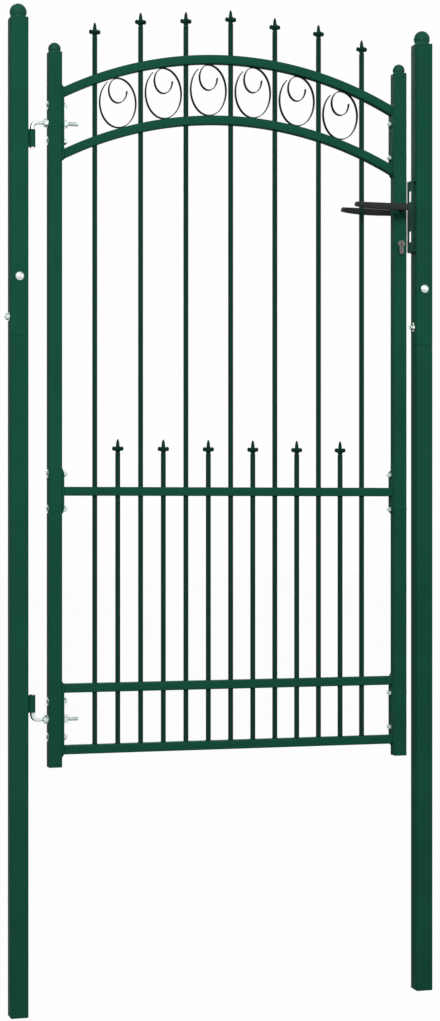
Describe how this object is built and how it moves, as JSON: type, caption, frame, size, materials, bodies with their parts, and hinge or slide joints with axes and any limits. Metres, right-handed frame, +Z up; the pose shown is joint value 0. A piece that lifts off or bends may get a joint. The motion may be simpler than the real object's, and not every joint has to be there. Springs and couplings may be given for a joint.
{
  "type": "spear-top garden gate",
  "caption": "Arched metal garden gate leaf with spear-topped bars and scrolls, hung between two ball-capped posts, with hinge hooks and a lever lock.",
  "frame": {"origin": "centre of the hinge post's flat foot face", "axes": "+X runs from the hinge post to the latch post, -Y is the front and +Z is up along the posts"},
  "size_m": [1.0111, 0.107, 2.268],
  "materials": {
    "green_post": "satin powder coat",
    "green_cap": "satin powder coat",
    "green_frame": "satin powder coat",
    "green_bar": "satin powder coat",
    "green_cast": "satin powder coat over a cast surface",
    "dark_scroll": "satin powder coat",
    "zinc": "bright zinc plate",
    "lock_steel": "satin",
    "nickel": "satin nickel, dark",
    "black_lever": "satin black powder coat",
    "black_plug": "moulded"
  },
  "bodies": {
    "posts": {"hinge_post_lower": "green_post", "hinge_post_upper": "green_post", "hinge_post_spigot": "green_post", "hinge_post_ball_cap": "green_cap", "hinge_post_bolts": "zinc", "hinge_post_foot_plug": "black_plug", "latch_post_lower": "green_post", "latch_post_upper": "green_post", "latch_post_spigot": "green_post", "latch_post_ball_cap": "green_cap", "latch_post_bolts": "zinc", "latch_post_foot_plug": "black_plug", "upper_hinge_barrel": "green_post", "lower_hinge_barrel": "green_post", "keeper": "green_post"},
    "leaf": {"hinge_upright": "green_frame", "latch_upright": "green_frame", "hinge_upright_ball_cap": "green_cap", "latch_upright_ball_cap": "green_cap", "upright_foot_plugs": "black_plug", "upper_arch": "green_frame", "lower_arch": "green_frame", "mid_rail": "green_frame", "lower_rail": "green_frame", "bottom_rail": "green_frame", "long_bars": "green_bar", "short_bars": "green_bar", "long_bar_spears": "green_cast", "short_bar_spears": "green_cast", "scrolls": "dark_scroll", "hinge_side_plates": "green_frame", "latch_side_plates": "green_frame", "plate_bolts": "zinc", "plate_bolt_nuts": "zinc", "upper_hinge_hook": "zinc", "lower_hinge_hook": "zinc", "hinge_hook_nuts": "zinc", "lock_case": "lock_steel", "lock_front_plate": "lock_steel", "key_cylinder": "nickel"},
    "handle": {"front_lever": "black_lever", "back_lever": "black_lever", "handle_spindle": "lock_steel"},
    "latch": {"latch_bolt": "nickel"}
  },
  "joints": [
    {"name": "leaf_swing", "type": "hinge", "parent": "posts", "child": "leaf", "pos_m": [0.0315, 0, 0.66], "axis": [0, 0, 1], "range_deg": [0, 90]},
    {"name": "handle_turn", "type": "hinge", "parent": "leaf", "child": "handle", "pos_m": [0.902, 0, 1.828], "axis": [0, -1, 0], "range_deg": [0, 40], "stiffness_Nm_per_rad": 1.5, "springref_deg": -17.19},
    {"name": "latch_slide", "type": "slide", "parent": "leaf", "child": "latch", "axis": [-1, 0, 0], "range_m": [0, 0.0048]}
  ],
  "couplings": [
    {"joint": "latch_slide", "follows": "handle_turn", "m_per_rad": 0.00685}
  ]
}
